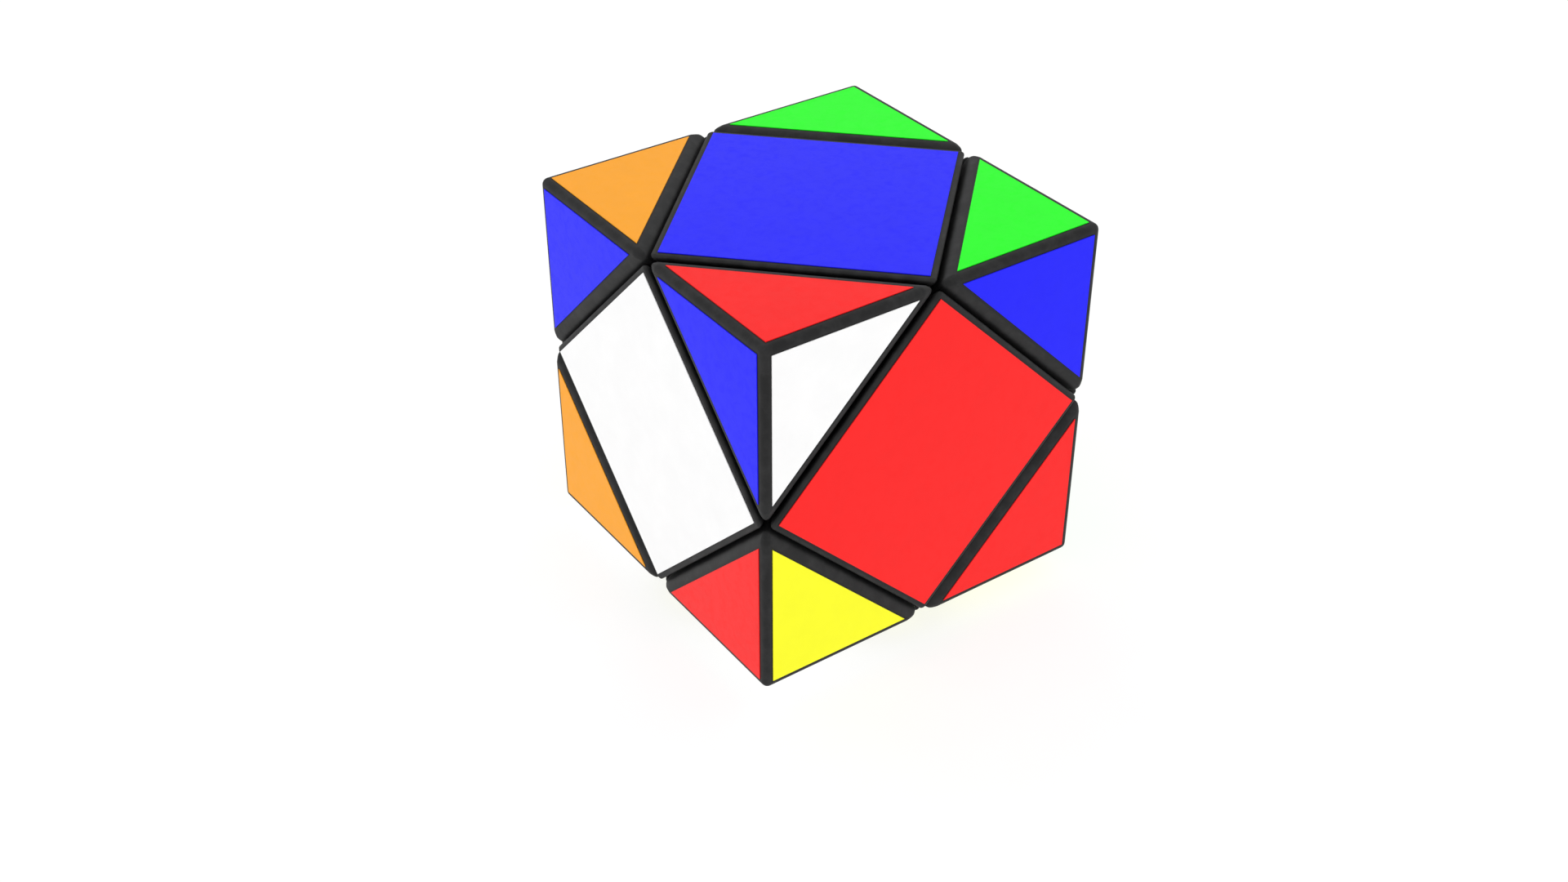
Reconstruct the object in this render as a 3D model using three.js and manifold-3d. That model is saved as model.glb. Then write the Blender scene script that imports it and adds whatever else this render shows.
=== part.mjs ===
// A cube-shaped corner-turning puzzle. Four planes through the middle of the cube cut it into eight
// corners and six square centres. Four of the corners are screwed to the arms of a core and are the
// pivots of every turn; they hold the centres by their feet, and the centres hold the four free corners.
//
// Millimetres, +Z up, origin at the middle of the core, where all four turning axes meet.
// Front is -Y, right is +X. A corner is named by its three faces: u, d, f, b, r, l stand for
// up, down, front, back, right and left.

import * as THREE from 'three';
import { mergeVertices } from 'three/addons/utils/BufferGeometryUtils.js';
import { RoundedBoxGeometry } from 'three/addons/geometries/RoundedBoxGeometry.js';
import Module from 'manifold-3d';

const wasm = await Module();
wasm.setup();

// The whole cube, over its stickers.
const EDGE = 57;
const STICKER_THICKNESS = 0.1;
const GLUE_GAP = 0.02;
const BODY_HALF = EDGE / 2 - STICKER_THICKNESS - GLUE_GAP;
const EDGE_RADIUS = 0.75;

// The cuts. Neighbours stand CUT_GAP apart where the cut shows, and RUN_GAP apart inside.
const CUT_GAP = 0.52;
const RUN_GAP = 0.3;
const CORNER_TIP_RADIUS = 0.5;
const CENTER_TIP_RADIUS = 1;

// The feet: a hollow ball around the core, cut by cones instead of planes, so that each foot
// reaches under its neighbour by FOOT_REACH.
const FOOT_TOP = 20;
const FOOT_FLOOR = 14;
const FOOT_REACH = THREE.MathUtils.degToRad(5.75);
const WALL = 1.8;

// Heights along an arm of the core, from the middle of the puzzle.
const ARM_END = 12.5;
const HUB_FLOOR = 12.8;
const POCKET_FLOOR = 19.5;
const HUB_TOP = 23.85;
const BOSS_TOP = 26.4;
const HEAD_FLOOR = 24.6;
const SCREW_TIP = 4.6;
const SCREW_POINT = 0.8;
const ARM_CHAMFER = 0.6;

// Radii about an arm of the core.
const BALL_RADIUS = 7;
const ARM_RADIUS = 4.2;
const THREAD_HOLE = 1.8;
const SHANK = 1.5;
const SHANK_HOLE = 1.8;
const HEAD = 2.9;
const POCKET = 3.4;
const BOSS = 4.9;

// The domed screw head: its rim, then its shoulder, then its flat crown.
const HEAD_RIM = 0.7;
const HEAD_SHOULDER = 1.5;
const HEAD_HEIGHT = 2;
const SHOULDER = 2.45;
const CROWN = 1.45;
const RECESS_LENGTH = 3.2;
const RECESS_WIDTH = 0.7;
const RECESS_DEPTH = 1.2;

const WIRE = 0.35;
const COIL = 2.4;
const COIL_TURNS = 4;

// A sticker stops STICKER_MARGIN inside the edges of its piece, but SLANT_MARGIN inside the
// slanting edge of a corner.
const STICKER_MARGIN = 1.42;
const SLANT_MARGIN = 1.28;

// How finely round surfaces are cut into flats.
const TURN_SEGMENTS = 24;
const CAVITY_SEGMENTS = 12;
const HOLE_SEGMENTS = 10;
const PIN_SEGMENTS = 15;
const BALL_DETAIL = 2;
const COIL_STEPS = 10;
const TIP_SEGMENTS = 2;
const WIRE_SEGMENTS = 3;

// Longer than anything in the puzzle, and wider than any rounded tip.
const BEYOND = 60;
const TIP_SPREAD = 2;

// Vertices this close together are one.
const WELD = 1e-4;

const DIRECTIONS = {
  top: new THREE.Vector3(0, 0, 1),
  bottom: new THREE.Vector3(0, 0, -1),
  front: new THREE.Vector3(0, -1, 0),
  back: new THREE.Vector3(0, 1, 0),
  right: new THREE.Vector3(1, 0, 0),
  left: new THREE.Vector3(-1, 0, 0),
};

const STICKER_COLORS = {
  white: 0xf4f4f4,
  red: 0xff2020,
  blue: 0x2626ff,
  orange: 0xff9a20,
  green: 0x20ff20,
  yellow: 0xffff20,
};

// Half turns about X, Y and Z carry the first pivot corner and the first free corner to the others.
const NO_TURN = new THREE.Quaternion();
const HALF_TURN_X = new THREE.Quaternion(1, 0, 0, 0);
const HALF_TURN_Y = new THREE.Quaternion(0, 1, 0, 0);
const HALF_TURN_Z = new THREE.Quaternion(0, 0, 1, 0);
const THIRD_TURN = new THREE.Quaternion(0.5, 0.5, 0.5, 0.5);
const THIRD_TURN_BACK = THIRD_TURN.clone().conjugate();

const PIVOT_CORNERS = [
  { id: 'urf', turn: NO_TURN, stickers: { top: 'red', right: 'white', front: 'blue' } },
  { id: 'ulb', turn: HALF_TURN_Z, stickers: { top: 'green', left: 'blue', back: 'orange' } },
  { id: 'dlf', turn: HALF_TURN_Y, stickers: { bottom: 'white', left: 'yellow', front: 'orange' } },
  { id: 'drb', turn: HALF_TURN_X, stickers: { bottom: 'yellow', right: 'red', back: 'green' } },
];

const FREE_CORNERS = [
  { id: 'ufl', turn: NO_TURN, stickers: { top: 'orange', front: 'blue', left: 'white' } },
  { id: 'ubr', turn: HALF_TURN_Z, stickers: { top: 'green', back: 'red', right: 'blue' } },
  { id: 'dfr', turn: HALF_TURN_Y, stickers: { bottom: 'white', front: 'red', right: 'yellow' } },
  { id: 'dbl', turn: HALF_TURN_X, stickers: { bottom: 'orange', back: 'yellow', left: 'green' } },
];

const CENTERS = [
  { id: 'top', turn: NO_TURN, sticker: 'blue' },
  { id: 'bottom', turn: HALF_TURN_X, sticker: 'yellow' },
  { id: 'right', turn: THIRD_TURN, sticker: 'red' },
  { id: 'left', turn: HALF_TURN_Z.clone().multiply(THIRD_TURN), sticker: 'orange' },
  { id: 'back', turn: THIRD_TURN_BACK, sticker: 'green' },
  { id: 'front', turn: HALF_TURN_Z.clone().multiply(THIRD_TURN_BACK), sticker: 'white' },
];

const FIRST_PIVOT = new THREE.Vector3(1, -1, 1).normalize();
const FIRST_FREE = new THREE.Vector3(-1, -1, 1).normalize();
const ARMS = PIVOT_CORNERS.map(({ turn }) => FIRST_PIVOT.clone().applyQuaternion(turn));
const [URF_ARM, ULB_ARM] = ARMS;

const plastic = new THREE.MeshStandardMaterial({ color: 0x262626, roughness: 0.45, metalness: 0 });
const corePlastic = new THREE.MeshStandardMaterial({ color: 0xe8e4d8, roughness: 0.5, metalness: 0 });
const steel = new THREE.MeshStandardMaterial({ color: 0x9a9da1, roughness: 0.35, metalness: 1 });
const springSteel = new THREE.MeshStandardMaterial({ color: 0xb8bcc0, roughness: 0.3, metalness: 1 });

// ---------------------------------------------------------------- solids

// A closed mesh as a solid, without the flat triangles that a lathe leaves on its axis.
function solid(geometry) {
  const bare = geometry.clone();
  bare.deleteAttribute('normal');
  bare.deleteAttribute('uv');
  const merged = mergeVertices(bare, WELD);
  const corners = merged.index.array;
  const triangles = [];
  for (let i = 0; i < corners.length; i += 3) {
    const [a, b, c] = corners.slice(i, i + 3);
    if (a !== b && b !== c && c !== a) {
      triangles.push(a, b, c);
    }
  }
  const mesh = new wasm.Mesh({
    numProp: 3,
    vertProperties: Float32Array.from(merged.attributes.position.array),
    triVerts: Uint32Array.from(triangles),
  });
  return new wasm.Manifold(mesh);
}

function geometryOf(shape) {
  const { vertProperties, triVerts } = shape.getMesh();
  const geometry = new THREE.BufferGeometry();
  geometry.setAttribute('position', new THREE.BufferAttribute(vertProperties, 3));
  geometry.setIndex(new THREE.BufferAttribute(triVerts, 1));
  geometry.computeVertexNormals();
  return geometry;
}

// A closed profile of [radius, height] points, turned about Z.
function turned(profile, segments = TURN_SEGMENTS) {
  const points = profile.map(([radius, height]) => new THREE.Vector2(radius, height));
  return new THREE.LatheGeometry(points, segments).rotateX(Math.PI / 2);
}

// A geometry made about Z, stood along a direction.
function along(geometry, direction) {
  const lean = new THREE.Quaternion().setFromUnitVectors(DIRECTIONS.top, direction);
  return geometry.applyQuaternion(lean);
}

function cylinder(radius, low, high, segments = TURN_SEGMENTS) {
  return turned([[0, low], [radius, low], [radius, high], [0, high]], segments);
}

// ---------------------------------------------------------------- the cuts

// Two points of a circle about the middle, in a half plane through an arm, at two heights.
function circleAt(radius, from, to) {
  return [from, to].map((height) => [Math.sqrt(radius ** 2 - height ** 2), height]);
}

// Where a circle about the middle meets the cone of the feet, moved aside by an offset.
function coneMeets(radius, offset) {
  return -Math.sin(FOOT_REACH - Math.asin(offset / radius)) * radius;
}

// The space of the layer that turns about an arm, less an inset all round.
function turningSide(arm, inset, segments) {
  const wall = CUT_GAP / 2 + inset;
  const gap = RUN_GAP / 2 + inset;
  const top = FOOT_TOP - gap;
  const profile = [
    [0, gap / Math.cos(FOOT_REACH)],
    ...circleAt(top, coneMeets(top, gap), wall),
    [BEYOND, wall],
    [BEYOND, BEYOND],
    [0, BEYOND],
  ];
  return solid(along(turned(profile, segments), arm));
}

// The space that stays put while the layer about an arm turns, less an inset all round.
function restingSide(arm, inset, segments) {
  const wall = CUT_GAP / 2 + inset;
  const gap = RUN_GAP / 2 + inset;
  const under = FOOT_TOP + gap;
  const profile = [
    [0, -BEYOND],
    [BEYOND, -BEYOND],
    [BEYOND, -wall],
    ...circleAt(under, -wall, coneMeets(under, -gap)),
    [0, -gap / Math.cos(FOOT_REACH)],
  ];
  return solid(along(turned(profile, segments), arm));
}

// The part of a shape that turns with some arms and stays put for the others.
function share(shape, turningArms, inset) {
  const segments = inset > 0 ? CAVITY_SEGMENTS : TURN_SEGMENTS;
  return ARMS.reduce((rest, arm) => {
    const side = turningArms.includes(arm) ? turningSide : restingSide;
    return rest.intersect(side(arm, inset, segments));
  }, shape);
}

// What rounds the end of a piece at the middle of a cube edge: the sliver between the sharp meeting
// of its two walls and a circle that touches both. spine runs along that meeting from the middle of
// the puzzle, inward points across it into the piece, and halfAngle is half the angle between the walls.
function tipSliver(spine, inward, halfAngle, radius) {
  const middle = (CUT_GAP / 2 + radius) / Math.sin(halfAngle);
  const sideways = (radius + TIP_SPREAD) * Math.cos(halfAngle);
  const height = middle - (radius + TIP_SPREAD) * Math.sin(halfAngle);
  const shape = new THREE.Shape();
  shape.moveTo(sideways, height);
  shape.absarc(0, middle, radius, -halfAngle, halfAngle - Math.PI, true);
  shape.lineTo(-sideways, height);
  shape.lineTo(0, -TIP_SPREAD);
  const prism = new THREE.ExtrudeGeometry(shape, {
    depth: BEYOND - FOOT_TOP,
    bevelEnabled: false,
    curveSegments: TIP_SEGMENTS,
  });
  const across = new THREE.Vector3().crossVectors(inward, spine);
  const basis = new THREE.Matrix4().makeBasis(across, inward, spine);
  prism.applyMatrix4(basis);
  prism.translate(...spine.clone().multiplyScalar(FOOT_TOP + RUN_GAP));
  return solid(prism);
}

// The middles of the three cube edges that meet at a corner, each with the face direction across it.
function cornerSpines(corner) {
  return ['x', 'y', 'z'].map((axis) => {
    const spine = corner.clone();
    spine[axis] = 0;
    const inward = new THREE.Vector3();
    inward[axis] = Math.sign(corner[axis]);
    return { spine: spine.normalize(), inward };
  });
}

function cubeBody() {
  const side = 2 * BODY_HALF;
  return solid(new RoundedBoxGeometry(side, side, side, 1, EDGE_RADIUS));
}

function cubeCavity() {
  const side = 2 * (BODY_HALF - WALL);
  return solid(new THREE.BoxGeometry(side, side, side));
}

function ball(radius) {
  return solid(new THREE.IcosahedronGeometry(radius, BALL_DETAIL));
}

function roundCornerTips(piece, corner) {
  const halfAngle = Math.atan(Math.SQRT1_2);
  return cornerSpines(corner).reduce(
    (rest, { spine, inward }) => rest.subtract(tipSliver(spine, inward, halfAngle, CORNER_TIP_RADIUS)),
    piece,
  );
}

// ---------------------------------------------------------------- pieces

function makeFreeCorner() {
  const arms = ARMS.filter((arm) => arm.dot(FIRST_FREE) > 0);
  const outside = share(cubeBody(), arms, 0).subtract(ball(FOOT_FLOOR));
  const inside = share(cubeCavity(), arms, WALL);
  return roundCornerTips(outside, FIRST_FREE).subtract(inside);
}

function makeTopCenter() {
  const arms = [URF_ARM, ULB_ARM];
  const halfAngle = Math.atan(Math.SQRT2);
  let piece = share(cubeBody(), arms, 0).subtract(ball(FOOT_FLOOR));
  for (const side of ['front', 'back', 'right', 'left']) {
    const spine = DIRECTIONS.top.clone().add(DIRECTIONS[side]).normalize();
    const inward = DIRECTIONS.top.clone().sub(DIRECTIONS[side]).normalize();
    piece = piece.subtract(tipSliver(spine, inward, halfAngle, CENTER_TIP_RADIUS));
  }
  return piece.subtract(share(cubeCavity(), arms, WALL));
}

// The outer shell of a pivot corner, open underneath, where it drops over the hub's boss.
function makePivotShell() {
  const above = solid(along(cylinder(BEYOND, HUB_TOP + RUN_GAP, BEYOND), URF_ARM));
  const outside = share(cubeBody(), [URF_ARM], 0).intersect(above);
  const inside = share(cubeCavity(), [URF_ARM], WALL);
  return roundCornerTips(outside, FIRST_PIVOT).subtract(inside);
}

// The inner half of a pivot corner: a neck that clears the neighbours' feet, and above them a
// flange with a pocket for the spring.
function makePivotHub() {
  const slab = solid(along(cylinder(BEYOND, HUB_FLOOR, HUB_TOP), URF_ARM));
  const boss = solid(along(cylinder(BOSS, POCKET_FLOOR + WALL, BOSS_TOP, PIN_SEGMENTS), URF_ARM));
  const hole = solid(along(cylinder(SHANK_HOLE, 0, BEYOND, HOLE_SEGMENTS), URF_ARM));
  const pocket = solid(along(cylinder(POCKET, POCKET_FLOOR, BEYOND, PIN_SEGMENTS), URF_ARM));
  const body = share(cubeBody(), [URF_ARM], 0).intersect(slab);
  return body.add(boss).subtract(hole).subtract(pocket);
}

function makeCore() {
  const armProfile = [
    [0, 0],
    [ARM_RADIUS, 0],
    [ARM_RADIUS, ARM_END - ARM_CHAMFER],
    [ARM_RADIUS - ARM_CHAMFER, ARM_END],
    [0, ARM_END],
  ];
  let core = ball(BALL_RADIUS);
  for (const arm of ARMS) {
    core = core.add(solid(along(turned(armProfile, PIN_SEGMENTS), arm)));
  }
  for (const arm of ARMS) {
    const hole = cylinder(THREAD_HOLE, SCREW_TIP - RUN_GAP, BEYOND, HOLE_SEGMENTS);
    core = core.subtract(solid(along(hole, arm)));
  }
  return core;
}

// A pan-head screw with a cross recess, standing along Z.
function makeScrew() {
  const headTop = HEAD_FLOOR + HEAD_HEIGHT;
  const profile = [
    [0, SCREW_TIP],
    [SHANK - SCREW_POINT, SCREW_TIP],
    [SHANK, SCREW_TIP + SCREW_POINT],
    [SHANK, HEAD_FLOOR],
    [HEAD, HEAD_FLOOR],
    [HEAD, HEAD_FLOOR + HEAD_RIM],
    [SHOULDER, HEAD_FLOOR + HEAD_SHOULDER],
    [CROWN, headTop],
    [0, headTop],
  ];
  let screw = solid(turned(profile, PIN_SEGMENTS));
  for (const [x, y] of [[RECESS_LENGTH, RECESS_WIDTH], [RECESS_WIDTH, RECESS_LENGTH]]) {
    const slot = new THREE.BoxGeometry(x, y, 2 * RECESS_DEPTH);
    slot.translate(0, 0, headTop);
    screw = screw.subtract(solid(slot));
  }
  return screw;
}

class Helix extends THREE.Curve {
  constructor(radius, low, high, turns) {
    super();
    Object.assign(this, { radius, low, high, turns });
  }

  getPoint(fraction, target = new THREE.Vector3()) {
    const angle = 2 * Math.PI * this.turns * fraction;
    const height = THREE.MathUtils.lerp(this.low, this.high, fraction);
    return target.set(this.radius * Math.cos(angle), this.radius * Math.sin(angle), height);
  }
}

// The compression spring between the hub's pocket and the screw head.
function makeSpring() {
  const low = POCKET_FLOOR + RUN_GAP + WIRE;
  const high = HEAD_FLOOR - RUN_GAP - WIRE;
  const section = new THREE.Shape();
  section.absarc(0, 0, WIRE, 0, 2 * Math.PI);
  return new THREE.ExtrudeGeometry(section, {
    extrudePath: new Helix(COIL, low, high, COIL_TURNS),
    steps: COIL_STEPS * COIL_TURNS,
    curveSegments: WIRE_SEGMENTS,
  });
}

// A flat sticker for the top face, from its outline.
function makeSticker(outline) {
  const shape = new THREE.Shape(outline.map(([x, y]) => new THREE.Vector2(x, y)));
  const sticker = new THREE.ExtrudeGeometry(shape, { depth: STICKER_THICKNESS, bevelEnabled: false });
  return sticker.translate(0, 0, BODY_HALF + GLUE_GAP);
}

// How far it is, along a cube edge, from the middle of a cut to a sticker with a margin beside it.
function cutToSticker(margin) {
  return (Math.sqrt(3) * CUT_GAP) / 2 + Math.SQRT2 * margin;
}

function makeCenterSticker() {
  const reach = EDGE / 2 - cutToSticker(STICKER_MARGIN);
  return makeSticker([[reach, 0], [0, reach], [-reach, 0], [0, -reach]]);
}

// A right-angled triangle in the quadrant of the top face where signX and signY point.
function makeCornerSticker(signX, signY) {
  const far = EDGE / 2 - STICKER_MARGIN;
  const near = EDGE / 2 + cutToSticker(SLANT_MARGIN) - far;
  const outline = [[far, far], [near, far], [far, near]].map(([x, y]) => [signX * x, signY * y]);
  return makeSticker(signX * signY > 0 ? outline : outline.reverse());
}

// ---------------------------------------------------------------- assembly

function named(name, geometry, material) {
  const mesh = new THREE.Mesh(geometry, material);
  mesh.name = name;
  return mesh;
}

const stickerMaterials = {};
for (const [name, color] of Object.entries(STICKER_COLORS)) {
  stickerMaterials[name] = new THREE.MeshStandardMaterial({ color, roughness: 0.4, metalness: 0 });
}

// The face that a sticker made for the top face lands on after a turn.
function faceAfter(turn) {
  const up = DIRECTIONS.top.clone().applyQuaternion(turn);
  return Object.keys(DIRECTIONS).find((face) => DIRECTIONS[face].dot(up) > 0.5);
}

// A corner's three stickers: one on the top face, and its copies a third of a turn apart.
function addCornerStickers(group, corner, axis, geometry) {
  for (const step of [0, 1, 2]) {
    const turn = new THREE.Quaternion().setFromAxisAngle(axis, (step * 2 * Math.PI) / 3);
    const face = faceAfter(corner.turn.clone().multiply(turn));
    const material = stickerMaterials[corner.stickers[face]];
    const sticker = named(`sticker_${corner.id}_${face}`, geometry, material);
    sticker.quaternion.copy(turn);
    group.add(sticker);
  }
}

const puzzle = new THREE.Group();
puzzle.add(named('core', geometryOf(makeCore()), corePlastic));

const pivotShell = geometryOf(makePivotShell());
const pivotHub = geometryOf(makePivotHub());
const screw = geometryOf(makeScrew());
const spring = makeSpring();
const pivotSticker = makeCornerSticker(1, -1);
for (const corner of PIVOT_CORNERS) {
  const group = new THREE.Group();
  group.quaternion.copy(corner.turn);
  group.add(named(`corner_${corner.id}_shell`, pivotShell, plastic));
  group.add(named(`corner_${corner.id}_hub`, pivotHub, plastic));
  addCornerStickers(group, corner, FIRST_PIVOT, pivotSticker);
  const armGroup = new THREE.Group();
  armGroup.quaternion.setFromUnitVectors(DIRECTIONS.top, FIRST_PIVOT);
  armGroup.add(named(`screw_${corner.id}`, screw, steel));
  armGroup.add(named(`spring_${corner.id}`, spring, springSteel));
  group.add(armGroup);
  puzzle.add(group);
}

const freeCorner = geometryOf(makeFreeCorner());
const freeSticker = makeCornerSticker(-1, -1);
for (const corner of FREE_CORNERS) {
  const group = new THREE.Group();
  group.quaternion.copy(corner.turn);
  group.add(named(`corner_${corner.id}`, freeCorner, plastic));
  addCornerStickers(group, corner, FIRST_FREE, freeSticker);
  puzzle.add(group);
}

const topCenter = geometryOf(makeTopCenter());
const centerSticker = makeCenterSticker();
for (const center of CENTERS) {
  const group = new THREE.Group();
  group.quaternion.copy(center.turn);
  group.add(named(`center_${center.id}`, topCenter, plastic));
  group.add(named(`sticker_center_${center.id}`, centerSticker, stickerMaterials[center.sticker]));
  puzzle.add(group);
}

export default puzzle;
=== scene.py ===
"""Looks of a cube-shaped corner-turning puzzle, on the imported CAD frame.

Sizes of pieces are in millimetres, and are scaled to metres where a mesh is made. Everything about the
studio and the materials is in metres.
"""

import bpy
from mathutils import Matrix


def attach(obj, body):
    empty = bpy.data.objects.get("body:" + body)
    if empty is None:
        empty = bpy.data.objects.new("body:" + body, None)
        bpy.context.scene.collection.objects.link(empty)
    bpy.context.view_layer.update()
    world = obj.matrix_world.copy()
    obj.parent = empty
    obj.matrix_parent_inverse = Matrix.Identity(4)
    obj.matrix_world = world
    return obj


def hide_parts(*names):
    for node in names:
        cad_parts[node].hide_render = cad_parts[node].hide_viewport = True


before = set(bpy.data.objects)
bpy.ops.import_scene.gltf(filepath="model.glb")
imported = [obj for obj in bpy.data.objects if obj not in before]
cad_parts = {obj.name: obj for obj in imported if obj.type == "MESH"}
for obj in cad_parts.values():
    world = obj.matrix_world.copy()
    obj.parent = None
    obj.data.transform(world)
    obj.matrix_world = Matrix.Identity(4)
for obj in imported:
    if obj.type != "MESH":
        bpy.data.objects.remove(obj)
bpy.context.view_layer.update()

import math

import bmesh
import bpy
from mathutils import Matrix, Vector

MM = 0.001
MICRON = 0.000001

# ---- sizes of the pieces, in mm

BODY_HALF = 28.38
CUT_HALF_GAP = 0.26
EDGE_ROUNDING = 1.0   # how far from a sharp edge its rounding begins, on both sides
WALL_ROUNDING = 0.7   # the same, on the edges between two walls
FEET_BALL = 20.3
SKIN = 0.002          # how far the rounded form lies inside the CAD solid
SLIVER = 0.004        # edges shorter than this come from the Booleans and are dissolved

STICKER_TOP = 28.5
STICKER_THICKNESS = 0.115
STICKER_MARGIN = 1.42
SLANT_MARGIN = 1.28   # along the slanting edge of a corner
STICKER_BEVEL = 0.03

# A turning layer swings the middle of a cube edge this far down, so the floor is there.
FLOOR_DEPTH = 2 * STICKER_TOP / math.sqrt(3)

# ---- how finely the meshes are made

ROUNDING_SEGMENTS = 6
STICKER_SEGMENTS = 2
BALL_SUBDIVISIONS = 4
CUT_TOLERANCE = 0.00001     # mm
CUT_WELD = 0.0001           # mm
CAD_WELD = 0.1 * MICRON
SHARP_ANGLE = 0.6           # radians; a wider angle between two faces stays a sharp edge
FLAT_COSINE = 0.9995        # a face closer than this to a flat side isn't part of a rounding

# ---- where the pieces are, and their sticker colours

FACES = {
    "top": Vector((0, 0, 1)),
    "bottom": Vector((0, 0, -1)),
    "front": Vector((0, -1, 0)),
    "back": Vector((0, 1, 0)),
    "right": Vector((1, 0, 0)),
    "left": Vector((-1, 0, 0)),
}
FACE_LETTERS = {"u": "top", "d": "bottom", "f": "front", "b": "back", "r": "right", "l": "left"}
ARMS = [Vector(v).normalized() for v in ((1, -1, 1), (-1, 1, 1), (-1, -1, -1), (1, 1, -1))]

# Sticker colours, in the order of the letters of each corner's name.
PIVOTS = {
    "urf": ("red", "white", "blue"),
    "ulb": ("green", "blue", "orange"),
    "dlf": ("white", "yellow", "orange"),
    "drb": ("yellow", "red", "green"),
}
FREES = {
    "ufl": ("orange", "blue", "white"),
    "ubr": ("green", "red", "blue"),
    "dfr": ("white", "red", "yellow"),
    "dbl": ("orange", "yellow", "green"),
}
CENTERS = {
    "top": "blue",
    "bottom": "yellow",
    "front": "white",
    "back": "green",
    "right": "red",
    "left": "orange",
}

# ---- the studio

WHITE = (1, 1, 1, 1)
FLOOR_HALF_WIDTH = 3.0
FLOOR_GREYS = ((0.22, 0.22, 0.22), (0.24, 0.24, 0.24))
FLOOR_GLOW = 0.79
WORLD_STRENGTH = 1.0
SOFTBOX_WATTS = 0.06
SOFTBOX_WIDTH = 0.5
SOFTBOX_PLACE = Vector((0.25, -0.35, 0.6))
CAMERA_PLACE = (0.192174, -0.139975, 0.153665)
CAMERA_TILT = 54.954      # degrees from straight down
CAMERA_HEADING = 54.977   # degrees about the vertical
LENS_MM = 43.456
SENSOR_MM = 36
CLIP_START = 0.01
CLIP_END = 20


# ---- Blender objects

def new_object(name, bm, scale=MM):
    bmesh.ops.scale(bm, verts=bm.verts[:], vec=(scale,) * 3)
    mesh = bpy.data.meshes.new(name)
    bm.to_mesh(mesh)
    bm.free()
    made = bpy.data.objects.new(name, mesh)
    bpy.context.scene.collection.objects.link(made)
    return made


def apply_modifiers(target):
    bpy.context.view_layer.update()
    evaluated = target.evaluated_get(bpy.context.evaluated_depsgraph_get())
    mesh = bpy.data.meshes.new_from_object(evaluated)
    target.modifiers.clear()
    target.data = mesh


def boolean(target, tool, operation):
    step = target.modifiers.new("cut", "BOOLEAN")
    step.object = tool
    step.operation = operation
    step.solver = "MANIFOLD"
    apply_modifiers(target)
    bpy.data.objects.remove(tool)


# ---- rounded forms

def cut_form(planes):
    """The convex mesh inside all planes, each a direction and a distance from the middle."""
    bm = bmesh.new()
    bmesh.ops.create_cube(bm, size=4 * BODY_HALF)
    for direction, distance in planes:
        everything = bm.verts[:] + bm.edges[:] + bm.faces[:]
        bmesh.ops.bisect_plane(bm, geom=everything, dist=CUT_TOLERANCE, plane_co=direction * distance,
                               plane_no=direction, clear_outer=True)
        rim = [e for e in bm.edges if e.is_boundary]
        if rim:
            bmesh.ops.holes_fill(bm, edges=rim, sides=0)
    bmesh.ops.remove_doubles(bm, verts=bm.verts[:], dist=CUT_WELD)
    bmesh.ops.recalc_face_normals(bm, faces=bm.faces[:])
    return bm


def wall_planes(inward):
    """The cuts beside a piece, where inward tells which side of each cut the piece is on."""
    return [(-arm if arm.dot(inward) > 0 else arm, -CUT_HALF_GAP - SKIN) for arm in ARMS]


def corner_planes(corner):
    """Three faces and three walls: the fourth cut is square to the corner's diagonal, and misses it."""
    faces = [Vector(row) * sign for row, sign in zip(Matrix.Identity(3), corner)]
    walls = [(w, d) for w, d in wall_planes(corner) if abs(w.dot(corner)) < 1]
    return [(f, BODY_HALF - SKIN) for f in faces] + walls


def center_planes(face):
    return [(face, BODY_HALF - SKIN)] + wall_planes(face)


def is_cube_side(normal):
    return max(abs(part) for part in normal) > FLAT_COSINE


def rounded_form(name, planes):
    """The convex form inside all planes, with rounded edges: less where two walls meet."""
    bm = cut_form(planes)
    share = bm.edges.layers.float.new("bevel_weight_edge")
    for e in bm.edges:
        beside_face = any(is_cube_side(f.normal) for f in e.link_faces)
        e[share] = 1.0 if beside_face else WALL_ROUNDING / EDGE_ROUNDING
    made = new_object(name, bm)
    bevel = made.modifiers.new("round", "BEVEL")
    bevel.width = EDGE_ROUNDING * MM
    bevel.segments = ROUNDING_SEGMENTS
    bevel.limit_method = "WEIGHT"
    bevel.use_clamp_overlap = False
    apply_modifiers(made)
    return made


# ---- the pieces

def copy_of_node(node):
    bm = bmesh.new()
    bm.from_mesh(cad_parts[node].data)
    bmesh.ops.remove_doubles(bm, verts=bm.verts[:], dist=CAD_WELD)
    return new_object(node + "_solid", bm, 1)


def feet_ball():
    bm = bmesh.new()
    bmesh.ops.create_icosphere(bm, subdivisions=BALL_SUBDIVISIONS, radius=FEET_BALL)
    return new_object("feet_ball", bm)


def smooth(made, flats):
    """Smooth shading with sharp feet, and an attribute that is 1 on the rounded edges, where the plastic
    is paler from abrasion and from a painted highlight.
    """
    bm = bmesh.new()
    bm.from_mesh(made.data)
    bmesh.ops.dissolve_degenerate(bm, dist=SLIVER * MM, edges=bm.edges[:])
    bmesh.ops.remove_doubles(bm, verts=bm.verts[:], dist=SLIVER * MM)
    for f in bm.faces:
        f.smooth = True
    for e in bm.edges:
        e.smooth = e.is_manifold and e.calc_face_angle() < SHARP_ANGLE
    # 1 on rounded faces, which get abrasion and a painted highlight in the plastic.
    wear_and_highlight_layer = bm.faces.layers.float.new("edge_wear_and_highlight")
    for f in bm.faces:
        outside = f.calc_center_median().length > FEET_BALL * MM
        f[wear_and_highlight_layer] = float(outside and max(f.normal.dot(n) for n in flats) < FLAT_COSINE)
    bm.to_mesh(made.data)
    bm.free()
    weighted = made.modifiers.new("flat_faces_stay_flat", "WEIGHTED_NORMAL")
    weighted.keep_sharp = True


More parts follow.
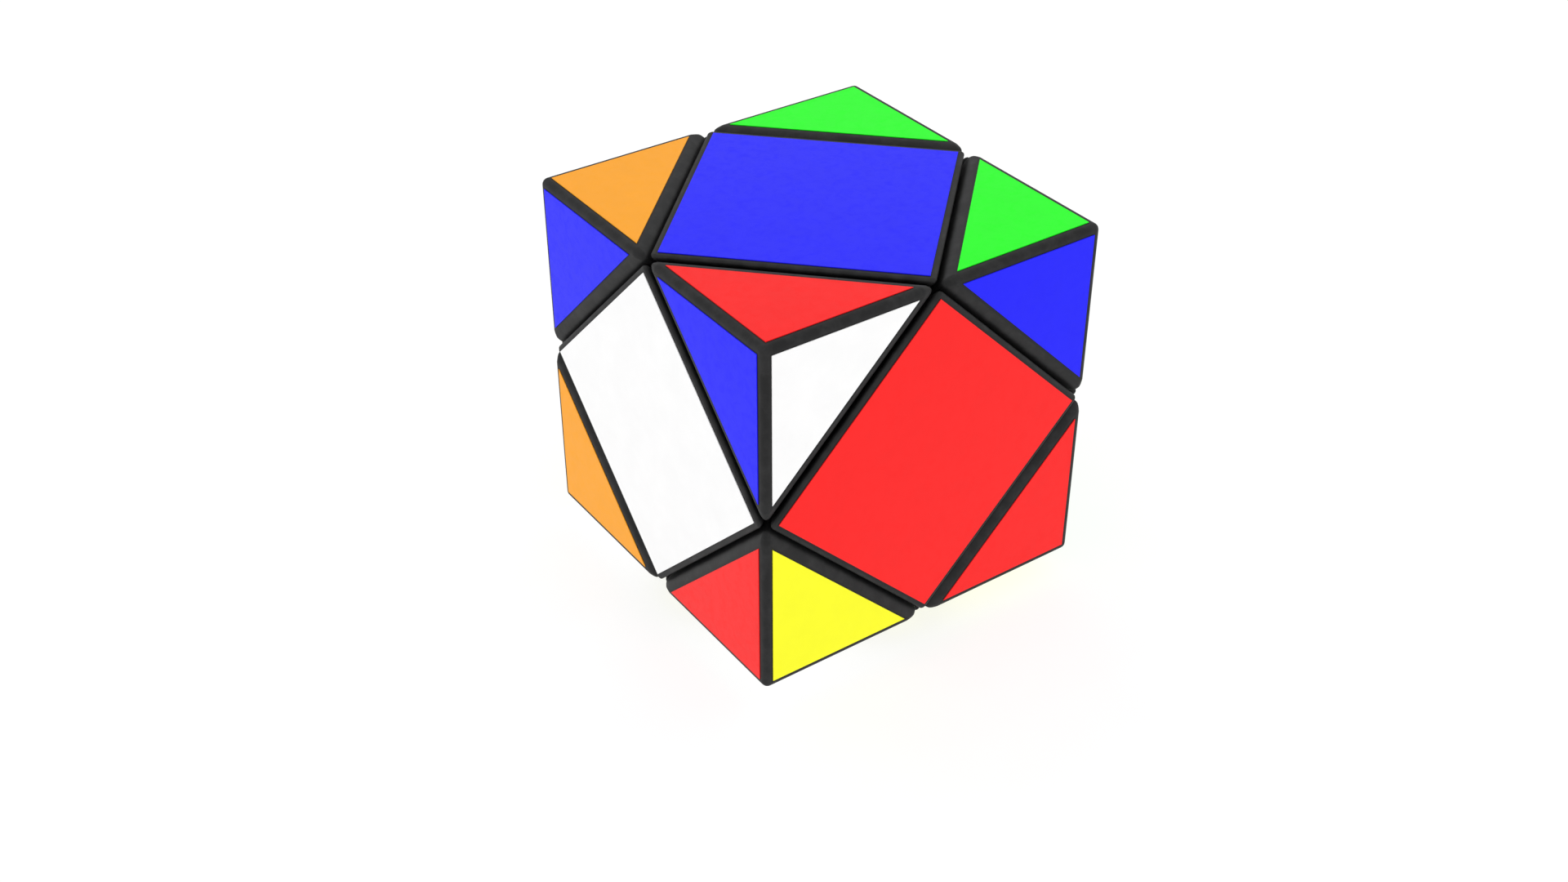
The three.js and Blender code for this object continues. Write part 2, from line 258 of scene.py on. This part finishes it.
def outer_piece(name, node, body, planes, material):
    """A black outer piece: the CAD node's solid within its rounded form, and the feet below it."""
    made = rounded_form(name, planes)
    boolean(made, feet_ball(), "UNION")
    boolean(made, copy_of_node(node), "INTERSECT")
    made.name = name
    smooth(made, list(FACES.values()) + ARMS + [-arm for arm in ARMS])
    finish_piece(made, body, node, material)


def finish_piece(made, body, node, material):
    made.data.materials.clear()
    made.data.materials.append(material)
    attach(made, body)
    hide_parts(node)


def sticker(name, node, body, face, outline, color):
    """A thin film with softened edges, its outline given on the face's own two axes."""
    bm = bmesh.new()
    low = [bm.verts.new(p + face * (STICKER_TOP - STICKER_THICKNESS)) for p in outline]
    bottom = bm.faces.new(low)
    grown = bmesh.ops.extrude_face_region(bm, geom=[bottom])["geom"]
    high = [v for v in grown if isinstance(v, bmesh.types.BMVert)]
    bmesh.ops.translate(bm, verts=high, vec=face * STICKER_THICKNESS)
    bmesh.ops.recalc_face_normals(bm, faces=bm.faces[:])
    top = max(bm.faces, key=lambda f: f.calc_center_median().dot(face))
    bmesh.ops.bevel(bm, geom=list(top.edges), offset=STICKER_BEVEL, offset_type="OFFSET",
                    segments=STICKER_SEGMENTS, profile=0.5, affect="EDGES")
    made = new_object(name, bm)
    finish_piece(made, body, node, STICKERS[color])


# ---- materials

class Nodes:
    """A node material, with short calls to add and link its nodes."""

    def __init__(self, name):
        self.material = bpy.data.materials.new(name)
        self.material.use_nodes = True
        self.tree = self.material.node_tree
        self.shader = self.tree.nodes["Principled BSDF"]
        self.place = self.add("ShaderNodeTexCoord").outputs["Object"]

    def add(self, kind, **settings):
        made = self.tree.nodes.new(kind)
        for key, value in settings.items():
            if hasattr(made, key):
                setattr(made, key, value)
            else:
                made.inputs[key.replace("_", " ")].default_value = value
        return made

    def link(self, output, target):
        self.tree.links.new(output, target)

    def drive(self, socket, output):
        self.link(output, self.shader.inputs[socket])

    def noise(self, scale, detail=2.0, roughness=0.5, distortion=0.0):
        """Noise with features of one metre divided by scale."""
        made = self.add("ShaderNodeTexNoise", Scale=scale, Detail=detail, Roughness=roughness,
                        Distortion=distortion)
        self.link(self.place, made.inputs["Vector"])
        return made.outputs["Fac"]

    def spread(self, value, low, high, start=0.3, end=0.7):
        """Maps the value's part from start to end onto low to high."""
        made = self.add("ShaderNodeMapRange", From_Min=start, From_Max=end, To_Min=low, To_Max=high)
        self.link(value, made.inputs["Value"])
        return made.outputs["Result"]

    def mix(self, share, first, second):
        made = self.add("ShaderNodeMix", data_type="RGBA")
        self.link(share, made.inputs[0])
        for socket, value in ((made.inputs[6], first), (made.inputs[7], second)):
            if isinstance(value, tuple):
                socket.default_value = (*value, 1)
            else:
                self.link(value, socket)
        return made.outputs[2]

    def times(self, first, second):
        made = self.add("ShaderNodeMath", operation="MULTIPLY")
        self.link(first, made.inputs[0])
        self.link(second, made.inputs[1])
        return made.outputs[0]

    def bumps(self, layers):
        """Stacks bumps, each a height output, its depth in metres and its strength."""
        normal = None
        for height, depth, strength in layers:
            bump = self.add("ShaderNodeBump", Distance=depth, Strength=strength)
            self.link(height, bump.inputs["Height"])
            if normal is not None:
                self.link(normal, bump.inputs["Normal"])
            normal = bump.outputs["Normal"]
        self.drive("Normal", normal)

    def set(self, **values):
        for key, value in values.items():
            self.shader.inputs[key.replace("_", " ")].default_value = value


def moulded_plastic(name, dark, light, wear_and_highlight, roughness, shine):
    """Moulded plastic with a fine spark-eroded grain, paler on the rounded edges: partly abrasion,
    partly a painted highlight that keeps the roundings light against their shade near the gaps.
    """
    n = Nodes(name)
    grain = n.noise(scale=5200, detail=3)
    cloud = n.noise(scale=160, detail=3)
    dimples = n.noise(scale=900)
    patches = n.noise(scale=420, detail=4, roughness=0.6)
    edge = n.add("ShaderNodeAttribute", attribute_name="edge_wear_and_highlight").outputs["Fac"]
    # Painted highlight: the paler edge colour is partly abrasion and partly lightening of the roundings
    # against their shade near the gaps.
    wear_and_highlight_mask = n.times(edge, n.spread(patches, low=0, high=1, start=0.42, end=0.75))
    color = n.mix(n.spread(cloud, low=0, high=1), dark, light)
    n.drive("Base Color", n.mix(wear_and_highlight_mask, color, wear_and_highlight))
    n.drive("Roughness", n.spread(cloud, low=roughness - 0.04, high=roughness + 0.05))
    n.bumps([(grain, 10 * MICRON, 0.35), (dimples, 20 * MICRON, 0.15)])
    n.set(IOR=1.46, Specular_IOR_Level=shine)
    return n.material


def sticker_vinyl(name, color):
    """Printed vinyl film: a faint orange peel, a slight mottle and a few finer scuffs in its gloss."""
    n = Nodes(name)
    darker = tuple(0.97 * c for c in color)
    mottle = n.noise(scale=260, detail=4, roughness=0.55)
    scuffs = n.noise(scale=700, detail=5, roughness=0.65, distortion=0.6)
    peel = n.noise(scale=1500)
    fine_peel = n.noise(scale=6500)
    n.drive("Base Color", n.mix(n.spread(mottle, low=0, high=1), darker, color))
    n.drive("Roughness", n.spread(scuffs, low=0.40, high=0.54, start=0.45, end=0.75))
    n.bumps([(peel, 10 * MICRON, 0.2), (fine_peel, 4 * MICRON, 0.2)])
    n.set(IOR=1.46, Specular_IOR_Level=0.17)
    return n.material


def machined_steel(name, dark, light, roughness):
    """Steel with fine drawn lines and a slightly uneven polish."""
    n = Nodes(name)
    fine = n.noise(scale=4200, detail=4, roughness=0.7)
    cloud = n.noise(scale=900, detail=3)
    n.drive("Base Color", n.mix(n.spread(cloud, low=0, high=1), dark, light))
    n.drive("Roughness", n.spread(fine, low=roughness - 0.08, high=roughness + 0.1))
    n.bumps([(fine, 10 * MICRON, 0.3)])
    n.set(Metallic=1.0)
    return n.material


# The paler edge colour of the black plastic is partly abrasion and partly a painted highlight against
# the shade near the gaps.
BLACK = moulded_plastic("black_abs", dark=(0.0085, 0.0085, 0.0088), light=(0.0125, 0.0125, 0.0129),
                        wear_and_highlight=(0.024, 0.024, 0.0245), roughness=0.5, shine=0.215)
CORE = moulded_plastic("core_nylon", dark=(0.70, 0.68, 0.62), light=(0.78, 0.76, 0.70),
                       wear_and_highlight=(0.8, 0.8, 0.76), roughness=0.5, shine=0.17)
STEEL = machined_steel("screw_steel", dark=(0.42, 0.43, 0.45), light=(0.56, 0.57, 0.59), roughness=0.32)
SPRING = machined_steel("spring_wire", dark=(0.50, 0.51, 0.53), light=(0.66, 0.67, 0.69), roughness=0.26)
STICKERS = {
    "white": sticker_vinyl("vinyl_white", (0.975, 0.975, 0.975)),
    "red": sticker_vinyl("vinyl_red", (0.99, 0.012, 0.012)),
    "blue": sticker_vinyl("vinyl_blue", (0.01, 0.01, 0.98)),
    "orange": sticker_vinyl("vinyl_orange", (0.99, 0.39, 0.017)),
    "green": sticker_vinyl("vinyl_green", (0.012, 0.99, 0.012)),
    "yellow": sticker_vinyl("vinyl_yellow", (0.99, 0.99, 0.016)),
}


# ---- the puzzle

def cut_to_sticker(margin):
    """How far it is, along a cube edge, from the middle of a cut to a sticker beside it."""
    return math.sqrt(3) * CUT_HALF_GAP + math.sqrt(2) * margin


def corner_direction(corner_id):
    return sum((FACES[FACE_LETTERS[letter]] for letter in corner_id), Vector())


def corner_outline(corner, face):
    """The triangle on a face of a corner, with its right angle at the cube's corner."""
    a, b = [f for f in FACES.values() if f.dot(corner) > 0.5 and f != face]
    far = STICKER_TOP - STICKER_MARGIN
    near = STICKER_TOP + cut_to_sticker(SLANT_MARGIN) - far
    return [a * far + b * far, a * near + b * far, a * far + b * near]


def center_outline(face):
    a, b = [f for f in FACES.values() if abs(f.dot(face)) < 0.5 and f.x + f.y + f.z > 0]
    reach = STICKER_TOP - cut_to_sticker(STICKER_MARGIN)
    return [a * reach, b * reach, a * -reach, b * -reach]


def make_corners():
    for corner_id, colors in {**PIVOTS, **FREES}.items():
        corner = corner_direction(corner_id)
        pivot = corner_id in PIVOTS
        node = f"corner_{corner_id}_shell" if pivot else f"corner_{corner_id}"
        body = f"pivot_{corner_id}" if pivot else f"free_{corner_id}"
        outer_piece(f"rounded_{node}", node, body, corner_planes(corner), BLACK)
        for letter, color in zip(corner_id, colors):
            face = FACE_LETTERS[letter]
            sticker(f"film_{corner_id}_{face}", f"sticker_{corner_id}_{face}", body, FACES[face],
                    corner_outline(corner, FACES[face]), color)


def make_centers():
    for face, direction in FACES.items():
        node = f"center_{face}"
        body = f"square_{face}"
        outer_piece(f"rounded_{node}", node, body, center_planes(direction), BLACK)
        sticker(f"film_{node}", f"sticker_{node}", body, direction, center_outline(direction),
                CENTERS[face])


def finish_mechanism():
    """The parts inside keep their CAD shapes and get their own materials."""
    inside = {"core": CORE}
    for pivot in PIVOTS:
        inside[f"corner_{pivot}_hub"] = BLACK
        inside[f"screw_{pivot}"] = STEEL
        inside[f"spring_{pivot}"] = SPRING
    for node, material in inside.items():
        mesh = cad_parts[node].data
        mesh.materials.clear()
        mesh.materials.append(material)


# ---- the studio's floor, light and camera

def make_floor():
    bm = bmesh.new()
    bmesh.ops.create_grid(bm, x_segments=8, y_segments=8, size=FLOOR_HALF_WIDTH)
    floor = new_object("floor", bm, 1)
    floor.location.z = -FLOOR_DEPTH * MM
    n = Nodes("floor_paper")
    n.drive("Base Color", n.mix(n.spread(n.noise(scale=40, detail=3), low=0, high=1), *FLOOR_GREYS))
    n.set(Roughness=0.9, Emission_Color=WHITE, Emission_Strength=FLOOR_GLOW)
    floor.data.materials.append(n.material)


def make_light():
    world = bpy.data.worlds.new("studio")
    bpy.context.scene.world = world
    world.use_nodes = True
    background = world.node_tree.nodes["Background"]
    background.inputs["Color"].default_value = WHITE
    background.inputs["Strength"].default_value = WORLD_STRENGTH
    lamp = bpy.data.lights.new("softbox", "AREA")
    lamp.energy = SOFTBOX_WATTS
    lamp.size = SOFTBOX_WIDTH
    softbox = bpy.data.objects.new("softbox", lamp)
    softbox.location = SOFTBOX_PLACE
    softbox.rotation_euler = (-SOFTBOX_PLACE).to_track_quat("-Z", "Y").to_euler()
    bpy.context.scene.collection.objects.link(softbox)


def make_camera():
    lens = bpy.data.cameras.new("camera")
    lens.sensor_width = SENSOR_MM
    lens.lens = LENS_MM
    lens.clip_start = CLIP_START
    lens.clip_end = CLIP_END
    camera = bpy.data.objects.new("camera", lens)
    camera.location = CAMERA_PLACE
    camera.rotation_euler = (math.radians(CAMERA_TILT), 0, math.radians(CAMERA_HEADING))
    bpy.context.scene.collection.objects.link(camera)
    bpy.context.scene.camera = camera


make_corners()
make_centers()
finish_mechanism()
make_floor()
make_light()
make_camera()
bpy.context.scene.view_settings.view_transform = "Standard"
